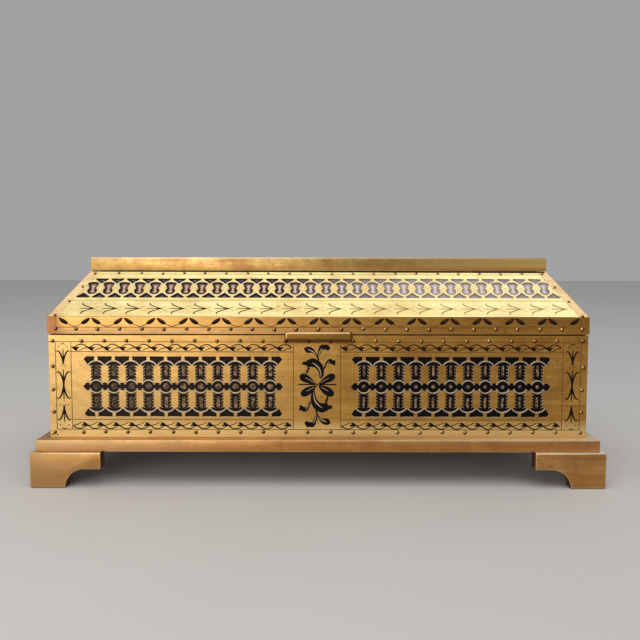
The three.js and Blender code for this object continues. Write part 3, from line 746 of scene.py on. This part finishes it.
def waxed_wood(name, light, dark, stretch):
    """Plain-sawn mahogany, oiled: straight brown grain a few millimetres apart, with fine open pores."""
    material = new_material(name)
    figure = add_node(
        material,
        "ShaderNodeMapRange",
        {"Value": grain(material, 1, 6, stretch), "From Min": 0.3, "From Max": 0.7},
    )
    pores = grain(material, 1, 2, tuple(4 * s for s in stretch))
    open_pores = add_node(
        material,
        "ShaderNodeMapRange",
        {"Value": pores, "From Min": 0.62, "From Max": 0.7, "To Max": 0.5},
    )
    colour = layered(material, light, [(figure, dark), (open_pores, "#2a1509")])
    bump = add_node(material, "ShaderNodeBump", {"Height": pores, "Strength": 0.3, "Distance": 0.0001})
    shader = add_node(
        material,
        "ShaderNodeBsdfPrincipled",
        {"Base Color": colour, "Roughness": 0.5, "IOR": 1.5, "Normal": bump},
    )
    add_node(material, "ShaderNodeOutputMaterial", {"Surface": shader})
    return material


# A painted shadow under the lift tab: a dark band on the front wall and on the nails there
TAB_SHADOW = (("X", -19.4, -18.4), ("X", 19.6, 18.6), ("Z", 79.0, 80.0), ("Z", 84.6, 84.2), ("Y", -50, -56))
# The front is drawn palest toward its left end and along its foot: painted light from the lamp at the left
# and from the bright floor
wall_brass = sheet_brass(
    "rolled_sheet_brass", "#d2a252", "#b8842f", "#98682a", "#84501f", 0.3, 0.6,
    zones=(("#dcb470", (("X", 20, -150),)), ("#f2cc84", (("Z", 37, 30),)), ("#5c340a", TAB_SHADOW)),
)
# The rim is drawn lighter toward its left end and less saturated low on its left half: painted light from
# the lamp at the left
rim_brass = sheet_brass(
    "rim_sheet_brass", "#c8933f", "#ac7630", "#906026", "#7c481a", 0.3,
    zones=(
        ("#d2a35c", (("X", 70, -120),)),
        ("#b28c5c", (("Z", 90, 86), ("X", 60, -110))),
        ("#9c683f", (("X", -140, -146), ("Y", -50, -56))),
        ("#a8742c", (("X", 138, 148), ("Y", -50, -56))),
    ),
)
# The slopes and the slab's top are drawn paler than the walls, a painted sheen of the light above that they
# face, and paler still toward the right end, a painted highlight
SLOPE_TONES = ("#ecdd9e", "#dcc684", "#d2ac6c", "#c09058")
SLOPE_HIGHLIGHT_END = ("#faecb0", (("X", 40, 190),))
slope_brass = sheet_brass("slope_brass_painted_sheen", *SLOPE_TONES, 0.36, 0.3, (SLOPE_HIGHLIGHT_END,))
fret_brass = sheet_brass(
    "pierced_slope_brass", *SLOPE_TONES, 0.36, 0.3,
    zones=(("#d8ba78", (("Z", 104.2, 104.8), ("Z", 115.2, 114.6))), SLOPE_HIGHLIGHT_END),
)
hip_brass = sheet_brass("hip_strip_brass", "#eed0a0", "#e0bc84", "#cc9c68", "#b48054", 0.36, 0.3)
# The plinth is drawn lighter toward its left end: painted light from the lamp at the left
plinth_brass = sheet_brass(
    "copper_red_plinth_brass", "#d29a5a", "#bd8242", "#a86c38", "#9a5430", 0.38, 0.6,
    zones=(("#e2b47c", (("X", -30, -150),)),),
)
foot_brass = sheet_brass(
    "foot_sheet_brass", "#d09c5c", "#bc8444", "#a27034", "#92582c", 0.36, 0.6,
    zones=(("#c2965e", (("X", -110, -150),)),),
)
# The slab is drawn lighter toward its right end, darker along its foot toward the right as a painted shadow
# under its edge, and pale along its top as a painted highlight
slab_brass = sheet_brass(
    "slab_sheet_brass", "#d1b16f", "#ba934e", "#9e6a37", "#925228", 0.34, 0.8,
    zones=(
        ("#ecc274", (("X", 30, 125),)),
        ("#c08840", (("Z", 122.2, 119.8), ("X", -20, 60))),
        ("#eadcb8", (("Z", 125.8, 126.8),)),
    ),
)
tab_brass = sheet_brass("handled_tab_brass", "#9a7228", "#946a26", "#7c5420", "#68421c", 0.4)
# The nails are drawn darker toward the left end as painted shade, and darker still under the lift tab as
# its painted shadow
nail_brass = sheet_brass(
    "turned_nail_brass", "#e8c888", "#d0a868", "#a07840", "#7a4c24", 0.22,
    zones=(("#b88c50", (("X", 40, -20),)), ("#6a4420", TAB_SHADOW)),
)
hinge_brass = sheet_brass("drawn_hinge_brass", "#b88e4e", "#9c7438", "#7c5626", "#5f3a1c", 0.38)
# Filed edges, raised rims and the flower's streaks are drawn paler than the faces: filed brass, and a
# painted highlight along them
edge_brass = sheet_brass("filed_edge_and_painted_highlight", "#cfbca4", "#bca68c", "#a4825c", "#8c6844", 0.34, 0.25)
slope_edge = sheet_brass("bright_filed_edge", "#f6ecc4", "#ecdca8", "#d8b878", "#c8a064", 0.34, 0.25)
worn_edge = sheet_brass("burnished_worn_edge", "#f4d8a8", "#e0b880", "#c89a60", "#b07c48", 0.3, 0.5)
# The tops of the feet and of the plinth are drawn pale and less metallic, so that they catch the lamp
# above, and palest toward the right end: painted highlights
lip_brass = sheet_brass(
    "foot_lip_painted_highlight", "#e6c898", "#d8b07a", "#c0925c", "#a87444", 0.5, 0.4,
    zones=(("#fff2d6", (("X", 0, 110),)),), metal=0.2,
)
ledge_brass = sheet_brass(
    "plinth_ledge_painted_highlight", "#cca47a", "#bc9064", "#a87848", "#946438", 0.5, 0.4,
    zones=(("#f0d4ac", (("X", 20, 120),)),), metal=0.5,
)

# Toward the left end the black takes a brown haze: a painted reflection of the lamp at the left
wall_black = lacquer("black_lacquered_veneer", "#020203", "#0a0707", 0.55, 0.5, ("#2a201a", 0, -90))
# On the slopes the black, its worn places and the engraved sprigs take a pale haze toward the right end: a
# painted reflection
slope_black = lacquer("slope_lacquer_painted_reflection", "#1a1416", "#382c2c", 0.28, 0.5, ("#b2a6a8", -20, 52))
thin_core = lacquer("lacquer_rubbed_thin", "#3c3228", "#86705a", 0.5, 0.9, spots=620)
brown_core = lacquer("lacquer_worn_to_brown_size", "#4c3a2c", "#b89470", 0.5, 0.9, spots=620)
slope_core = lacquer("lacquer_worn_pink", "#6e5650", "#8c6e66", 0.3, 0.6, ("#c6bcbe", -25, 52))
slope_heart = lacquer("lacquer_worn_pale", "#dcb49c", "#b89484", 0.3, 0.5, ("#f0e6e2", -60, 30))
wedge_core = lacquer("lacquer_worn_grey", "#7c6c68", "#4c4040", 0.3, 0.7, ("#b8acac", -20, 52))
engraving_wax = lacquer("black_engraving_wax", "#100804", "#2c1808", 0.6, 0.5)
line_wax = lacquer("brown_scribed_line", "#6a4420", "#8a6028", 0.6)
flower_black = lacquer("black_enamel", "#050304", "#0c0806", 0.5)
slope_wax = lacquer("thin_brown_engraving_wax", "#241a0c", "#54461c", 0.5, 0.6, ("#b09c60", -60, 70))
slope_line = lacquer("fine_scribed_line", "#c8b274", "#dcc888", 0.5)
soiling_and_shade = lacquer("old_soiling_and_painted_shade", "#120a06", "#2c1a0c", 0.7)
long_wood = waxed_wood("oiled_mahogany_lengthwise", "#6a3c20", "#3e2210", (12, 260, 260))
cross_wood = waxed_wood("oiled_mahogany_crosswise", "#6a3c20", "#3e2210", (260, 12, 260))


# Carried-over solids

def paint(node_name, material):
    mesh = nodes[node_name].data
    mesh.materials.clear()
    mesh.materials.append(material)


for node_name in nodes:
    if "slope_ground" in node_name:
        paint(node_name, slope_black)
    elif "ground" in node_name:
        paint(node_name, wall_black)
    elif "leaf" in node_name or "pin" in node_name or "screw" in node_name:
        paint(node_name, hinge_brass)
    elif "board" in node_name or "foot_block" in node_name:
        crosswise = "left_" in node_name or "right_" in node_name
        paint(node_name, cross_wood if crosswise else long_wood)
    elif "slope_plate" in node_name:
        paint(node_name, slope_brass)
    elif "rim_plate" in node_name:
        paint(node_name, rim_brass)
    else:
        paint(node_name, wall_brass)


# Walls of the body

SHEET_LEVELS = (BODY_LOW + 0.05, BODY_TOP - SETBACK)
LONG_NAILS = [-147.7] + [12.58 * (i + 0.5) + 0.3 for i in range(-11, 11)] + [146.6]
SHORT_NAILS = [-57.9, -45.1, -32.2, -19.3, -6.45, 6.45, 19.3, 32.2, 45.1, 57.9]
FRET_LEVEL = 54.95
# The worn places to the left of here are wide and dim
DIM_CORES_END = -85
FLOWER_PLACE = (-0.5, 56.3, 0)

# Heights of the nails: of the rows over and under the panels, and of those between by the corners
NAIL_LEVELS = (80.9, 29.5)
CORNER_NAIL_LEVELS = (66.4, 53.6, 41.0)

# Heights of the scribed lines of the frame and of the panels, and the frame's distance from a corner
FRAME_LEVELS = (80.05, 30.75)
PANEL_LEVELS = (74.5, 36.3)
FRAME_INSET = 3.9

# A nail's head, how far it strays, the dark ring of old soiling round it and how far that ring is set off
# below and to the right, as painted shade on the heads' dark side
NAIL_RADIUS = 0.87
NAIL_HEIGHT = 0.62
NAIL_WANDER = 0.25
SOILING_AND_SHADE_RADIUS = 1.16
SHADE_OFFSET = (0.28, -0.26)
hand = random.Random(7)


def nail_row(name, names, places, size=1, tilt=0, base=0):
    """Nail heads, set by hand a little out of line, each in a dark ring of old soiling, set off below and
    to the right as painted shade.
    """
    places = [tuple(value + hand.uniform(-NAIL_WANDER, NAIL_WANDER) for value in place) for place in places]
    soiling_and_shade_places = moved(places, *SHADE_OFFSET)
    soiling_and_shade_rings = repeat(f"{name}_grime", inlay("ring", [disc(0, 0, SOILING_AND_SHADE_RADIUS * size, 10)], 0.02), soiling_and_shade_places)
    mount(soiling_and_shade_rings, names, soiling_and_shade, tilt=tilt, base=base)
    heads = repeat(f"{name}_heads", dome(NAIL_RADIUS * size, NAIL_HEIGHT * size), places)
    mount(heads, names, nail_brass, "plain_brass", tilt=tilt, base=base)


def fret_panels(names, panels, half_length):
    """The pierced sheet of a wall, its raised rims, and the worn places in the black behind it."""
    holes, columns = [], []
    for centre, count in panels:
        fret, middles = arch_fret(count)
        holes += [moved(hole, centre, FRET_LEVEL) for hole in fret]
        columns += [(centre + x, FRET_LEVEL) for x in middles]
    blank = rectangle(-half_length, half_length, *SHEET_LEVELS)
    sheet = cutout("fret_sheet", [blank, *holes], -SHEET, 0, 0.12)
    two_finishes(sheet, wall_brass, edge_brass)
    mount(sheet, names, None, "pattern_brass", "plate")
    bands = repeat("fret_rims", raised("rim", column_bands(), -0.3, 0.14, 0.2), columns)
    mount(bands, names, edge_brass, "pattern_brass")
    wide = [place for place in columns if place[0] < DIM_CORES_END]
    middling = [place for place in columns if place[0] < 0 and place not in wide]
    narrow = [place for place in columns if place[0] >= 0]
    for name, places, width, spot, material in (
        ("dim_cores", wide, 2.9, 1.9, thin_core),
        ("broad_cores", middling, 2.1, 1.7, brown_core),
        ("narrow_cores", narrow, 1.5, 1.05, brown_core),
    ):
        if places:
            cores = repeat(name, raised("core", column_core(width, spot), -0.95, -0.8, 0), places)
            mount(cores, names, material, "black_veneer")


def wall_engraving(names, half, sheet_half, spans):
    """Frame lines, the vines over and under each panel, and the palmettes by the corners.
    spans are the panels, each from its left end to its right one."""
    high, low = FRAME_LEVELS
    left, right = -half + FRAME_INSET, half - FRAME_INSET
    lines = [line_at(-sheet_half, high, sheet_half, high), line_at(left, low, right, low)]
    lines += [line_at(x, low, x, high) for span in ((left, right), *spans) for x in span]
    lines += [line_at(start, z, end, z) for start, end in spans for z in PANEL_LEVELS]
    mount(inlay("frame_lines", lines, 0.02), names, line_wax)
    if spans:
        mount(vine(spans), names, engraving_wax)
        corners = [(-half + 8.1, 0), (half - 8.5, 0)]
        mount(repeat("palmettes", inlay("palmette", palmette_column()), corners), names, engraving_wax)


def edge_nails(half, row):
    """Where the nails stand round the border of a wall."""
    rows = [(x, z) for z in NAIL_LEVELS for x in row]
    return rows + [(x, z) for z in CORNER_NAIL_LEVELS for x in (-half + 2.1, half - 3.0)]


ENDS = ("right", "left")
short_sheet = BODY_HALF[1] - SHEET - 0.05
fret_panels(["front"], [(-75.3, 11), (73.9, 11)], BODY_HALF[0])
fret_panels(ENDS, [(0, 8)], short_sheet)
wall_engraving(["front"], BODY_HALF[0], BODY_HALF[0], [(-137.5, -13.8), (12.4, 136.2)])
wall_engraving(ENDS, BODY_HALF[1], short_sheet, [(-46.9, 46.9)])
wall_engraving(["back"], BODY_HALF[0], BODY_HALF[0], [])
nail_row("nail", ["front", "back"], edge_nails(BODY_HALF[0], LONG_NAILS))
nail_row("nail", ENDS, edge_nails(BODY_HALF[1], SHORT_NAILS))

shapes, streaks = flower()
for name, outlines, rise, material, slot in (
    ("flower", shapes, 0.034, flower_black, None),
    ("flower_veins", streaks, 0.06, edge_brass, "pattern_brass"),
):
    drawing = inlay(name, outlines, rise)
    drawing.location = FLOWER_PLACE
    apply_place(drawing)
    mount(drawing, ["front"], material, slot)
old_holes = [disc(-148.7, 27.75, 0.5, 8), disc(-147.6, 27.8, 0.3, 6), disc(-146.0, 27.7, 0.5, 8)]
mount(inlay("old_nail_holes", old_holes), ["front"], soiling_and_shade)


# Lid

# Heights of the rim's scribed line and its nails, and the distance of the lid's lines from its corners
RIM_LINE_LEVEL = 88.2
RIM_NAIL_LEVEL = 87.45
RIM_NAIL_PITCH = 12.25
LINE_INSET = 5

# Places up the slope of its scribed lines, of its upper row of nails and of the nails by the hips
SLOPE_LINE_LEVELS = (10.65, 28.6)
SLOPE_NAIL_LEVEL = 29.3
SLOPE_NAIL_PITCH = 12.37
HIP_NAIL_LEVELS = (0.9, 10.4, 20.2, 29.4)
HIP_NAIL_INSET = 3.7


def rim(names, half, swags, nails):
    """The upright rim of the lid: a scribed line, swags of garland over it and nails under it."""
    left, right = -half + LINE_INSET, half - LINE_INSET
    lines = [line_at(left, RIM_LINE_LEVEL, right, RIM_LINE_LEVEL, 0.35)]
    if swags:
        lines += [line_at(x, RIM_LINE_LEVEL, x, RIM_TOP, 0.3) for x in (left, right)]
        leaf = closed(GARLAND_LEAF)
        places = moved(spaced(swags, GARLAND_PITCH, 0), GARLAND_SHIFT, 0)
        mount(repeat("garland", inlay("swag", [leaf, mirror_x(leaf)]), places), names, engraving_wax)
        mount(repeat("garland_rope", inlay("rope", [stroke(GARLAND_ROPE)]), places), names, line_wax)
        vein = stroke(GARLAND_VEIN)
        veins = repeat("garland_veins", inlay("vein", [vein, mirror_x(vein)], 0.06), places)
        mount(veins, names, line_wax)
    mount(inlay("rim_line", lines, 0.02), names, line_wax)
    row = spaced(nails, RIM_NAIL_PITCH, RIM_NAIL_LEVEL)
    row += [(x, RIM_NAIL_LEVEL) for x in (-half + 4.6, half - 4.2)]
    nail_row("rim_nail", names, row)


def slope_outline(half):
    foot, top, gap = 0.14, SLOPE_LENGTH - 0.14, 0.3
    low, high = half - HIP_LEAN * foot - gap, half - HIP_LEAN * top - gap
    return [(-low, foot), (low, foot), (high, top), (-high, top)]


def slope(names, half, cells, sprigs, nails):
    """One leaning side of the lid: a pierced band, a row of sprigs under it, and nailed borders."""
    lean = {"tilt": SLOPE_TILT, "base": RIM_TOP}
    if cells:
        holes, middles = waist_fret(cells)
        places = [(x, 0) for x in middles]
        sheet = cutout("slope_fret_sheet", [slope_outline(half), *holes], -SHEET, 0, 0.1)
        two_finishes(sheet, fret_brass, slope_edge)
        mount(sheet, names, None, "pattern_brass", "slope_plate", **lean)
        rims = repeat("slope_rims", raised("rim", waist_bands(), -0.3, 0.12, 0.14), places)
        mount(rims, names, slope_edge, "pattern_brass", **lean)
        gaps = [(x + WAIST_PITCH / 2, 0) for x in middles[:-1]]
        for name, outlines, top, spots, material in (
            ("slope_cores", [closed(WAIST_CORE, 2)], -0.85, places, slope_core),
            ("wedge_cores", WEDGE_CORES, -0.84, gaps, wedge_core),
            ("slope_hearts", [closed(WAIST_HEART, 2)], -0.82, places, slope_heart),
        ):
            worn = repeat(name, raised("core", outlines, -1.05, top, 0), spots)
            mount(worn, names, material, "black_veneer", **lean)
        row = moved(spaced(sprigs, ARROW_PITCH, ARROW_LEVEL), -ARROW_SHIFT, 0)
        mount(repeat("sprigs", inlay("sprig", arrow()), row), names, slope_wax, **lean)
    (_, foot), (low, _), (high, top), _ = slope_outline(half)
    border = [(low - LINE_INSET, foot), (low, foot), (high, top), (high - LINE_INSET, top)]
    strips = inlay("hip_strips", [border, mirror_x(border)], 0.012, 0.06)
    mount(strips, names, hip_brass, "pattern_brass", **lean)
    lines = [line_at(low - LINE_INSET, foot, high - LINE_INSET, top, 0.28)]
    lines += [mirror_x(lines[0])]
    for v in SLOPE_LINE_LEVELS:
        reach = half - HIP_LEAN * v - LINE_INSET
        lines.append(line_at(-reach, v, reach, v, 0.35))
    # A painted shadow under the slab's edge, deeper toward the right
    slab_shadow = [(0.5 - high, SLOPE_LENGTH - 0.27), (0.5 - high, SLOPE_LENGTH - 0.85)]
    slab_shadow += [(high - 0.5, SLOPE_LENGTH - 1.35), (high - 0.5, SLOPE_LENGTH - 0.27)]
    slab_shadow_line = inlay("painted_slab_shadow", [slab_shadow], 0.03)
    mount(slab_shadow_line, names, soiling_and_shade, **lean)
    mount(inlay("slope_lines", lines, 0.03), names, slope_line, **lean)
    hip_nails = [(half - HIP_LEAN * v - HIP_NAIL_INSET, v) for v in HIP_NAIL_LEVELS]
    places = [(sign * x, v) for x, v in hip_nails for sign in (-1, 1)]
    places += [(x, SLOPE_NAIL_LEVEL) for x in nails]
    nail_row("slope_nail", names, places, 0.75, **lean)


LID_ENDS = ("lid_right", "lid_left")
rim(["lid_front"], LID_HALF[0], 16, 23)
rim(LID_ENDS, LID_HALF[1], 6, 9)
rim(["lid_back"], LID_HALF[0], 0, 23)
slope(["lid_front"], LID_HALF[0], 30, 22, [-115.8] + [12.2 * i - 102.3 for i in range(19)])
slope(LID_ENDS, LID_HALF[1], 9, 6, [SLOPE_NAIL_PITCH * i for i in range(-2, 3)])
slope(["lid_back"], LID_HALF[0], 0, 0, [SLOPE_NAIL_PITCH * (i - 9.5) for i in range(20)])


# Folded and soldered brass, with its edges rubbed round and bright

def rounded(node_name, width, segments, *finishes, front_width=0):
    """A copy of a carried-over solid with its edges worn round, in the solid's stead.
    Its finishes are for its faces, its rounded edges and, where there is a third, its top.
    front_width rounds its forward face more than the rest, and leaves that rounding bright only
    above and at the left, as a painted highlight."""
    node = nodes[node_name]
    copy = own_copy(node, f"{node_name}_rounded")
    copy.parent = None
    copy.matrix_world = node.matrix_world.copy()
    for key in list(copy.keys()):
        del copy[key]
    copy.data.materials.clear()
    for finish in finishes:
        copy.data.materials.append(finish)
    select_only(copy)
    bpy.ops.object.mode_set(mode="EDIT")
    bpy.ops.mesh.select_all(action="SELECT")
    bpy.ops.mesh.remove_doubles(threshold=0.000005)
    bpy.ops.mesh.dissolve_limited(angle_limit=math.radians(1))
    if front_width:
        bpy.ops.mesh.select_mode(type="FACE")
        bpy.ops.mesh.select_all(action="DESELECT")
        bpy.ops.object.mode_set(mode="OBJECT")
        for polygon in copy.data.polygons:
            polygon.select = polygon.normal.y < -0.95
        bpy.ops.object.mode_set(mode="EDIT")
        bpy.ops.mesh.region_to_loop()
        bpy.ops.mesh.bevel(offset=front_width * MM, segments=4, material=1)
    bpy.ops.object.mode_set(mode="OBJECT")
    bevel = copy.modifiers.new("rounding", "BEVEL")
    bevel.width = width * MM
    bevel.segments = segments
    bevel.limit_method = "ANGLE"
    bevel.angle_limit = math.radians(40)
    bevel.material = 1
    bpy.ops.object.modifier_apply(modifier=bevel.name)
    for polygon in copy.data.polygons:
        if polygon.normal.z > 0.95:
            polygon.material_index = len(finishes) - 1
        # On the forward face the rounding below and at the right goes back to the face's finish, so that
        # only the painted highlight above and at the left stays bright
        elif front_width and (polygon.normal.z < -0.1 or polygon.normal.x > 0.1):
            polygon.material_index = 0
    bpy.ops.object.shade_smooth_by_angle(angle=math.radians(35))
    return copy


LIP_INSET = 0.4


def foot_lip(name, x_sign, y_sign):
    """The brass folded over the top of a foot, out to its edge from the plinth above."""
    outer_x, outer_y = (half - LIP_INSET for half in FOOT_HALF)
    end_x, end_y = (half - FOOT_LENGTH + LIP_INSET for half in FOOT_HALF)
    inner_x, inner_y = (half + 0.05 for half in PLINTH_HALF)
    outline = [(outer_x, outer_y), (end_x, outer_y), (end_x, inner_y)]
    outline += [(inner_x, inner_y), (inner_x, end_y), (outer_x, end_y)]
    outline = [(x * x_sign, y * y_sign) for x, y in outline]
    lip = cutout(f"foot_lip_{name}", [outline], FOOT_TOP - 0.2, FOOT_TOP + 0.04)
    lip.scale = (MM, MM, MM)
    apply_place(lip)
    finish_piece(lip, "box", lip_brass)


for corner, x_sign, y_sign in (
    ("front_left", -1, -1),
    ("front_right", 1, -1),
    ("back_right", 1, 1),
    ("back_left", -1, 1),
):
    plate = f"foot_plate_{corner}"
    finish_piece(rounded(plate, 0.4, 3, foot_brass, worn_edge), "box", None, plate)
    foot_lip(corner, x_sign, y_sign)
for node_name, body, piece in (
    ("plinth_cladding", "box", rounded("plinth_cladding", 0.35, 3, plinth_brass, worn_edge, ledge_brass)),
    ("top_cladding", "lid", rounded("top_cladding", 0.35, 3, slab_brass, worn_edge, slope_brass)),
    ("lift_tab", "lid", rounded("lift_tab", 0.3, 2, tab_brass, worn_edge, front_width=1.0)),
):
    finish_piece(piece, body, None, node_name)


# Camera, light and floor

def area_light(name, place, target, size, power, colour="#ffffff"):
    light = bpy.data.lights.new(name, "AREA")
    light.shape = "RECTANGLE"
    light.size, light.size_y = size
    light.energy = power
    light.color = linear(colour)[:3]
    lamp = bpy.data.objects.new(name, light)
    bpy.context.collection.objects.link(lamp)
    lamp.location = place
    lamp.rotation_euler = (Vector(target) - Vector(place)).to_track_quat("-Z", "Y").to_euler()
    return lamp


camera_data = bpy.data.cameras.new("camera")
camera_data.lens = 36
camera_data.sensor_width = 36
camera_data.shift_y = -0.038
camera_data.clip_start = 0.01
camera = bpy.data.objects.new("camera", camera_data)
camera.location = (0.00085, -0.41315, 0.1275)
camera.rotation_euler = (math.radians(90 - 3.5), math.radians(-0.108), 0)
bpy.context.collection.objects.link(camera)
bpy.context.scene.camera = camera

area_light("soft_box_above", (0, -0.6, 1.3), (0, -0.1, 0.08), (1.8, 1.2), 8.2)
area_light("soft_box_left", (-0.33, -0.62, 0.17), (-0.24, -0.06, 0.04), (0.5, 0.32), 1.25, "#fff6e8")

world = bpy.data.worlds.new("studio")
world.use_nodes = True
world.node_tree.nodes["Background"].inputs["Color"].default_value = (0.8, 0.8, 0.82, 1)
world.node_tree.nodes["Background"].inputs["Strength"].default_value = 0.45
bpy.context.scene.world = world
bpy.context.scene.view_settings.view_transform = "Standard"

bpy.ops.object.select_all(action="DESELECT")
bpy.ops.mesh.primitive_plane_add(size=6, location=(0, 0, 0))
floor = bpy.context.object
floor.name = "floor"
floor_paper = new_material("matte_paper_floor")
paper_colour = layered(floor_paper, "#dcdad6", [(grain(floor_paper, 8, 2), "#e4e2de")])
paper = add_node(floor_paper, "ShaderNodeBsdfPrincipled", {"Base Color": paper_colour, "Roughness": 0.8})
add_node(floor_paper, "ShaderNodeOutputMaterial", {"Surface": paper})
floor.data.materials.append(floor_paper)
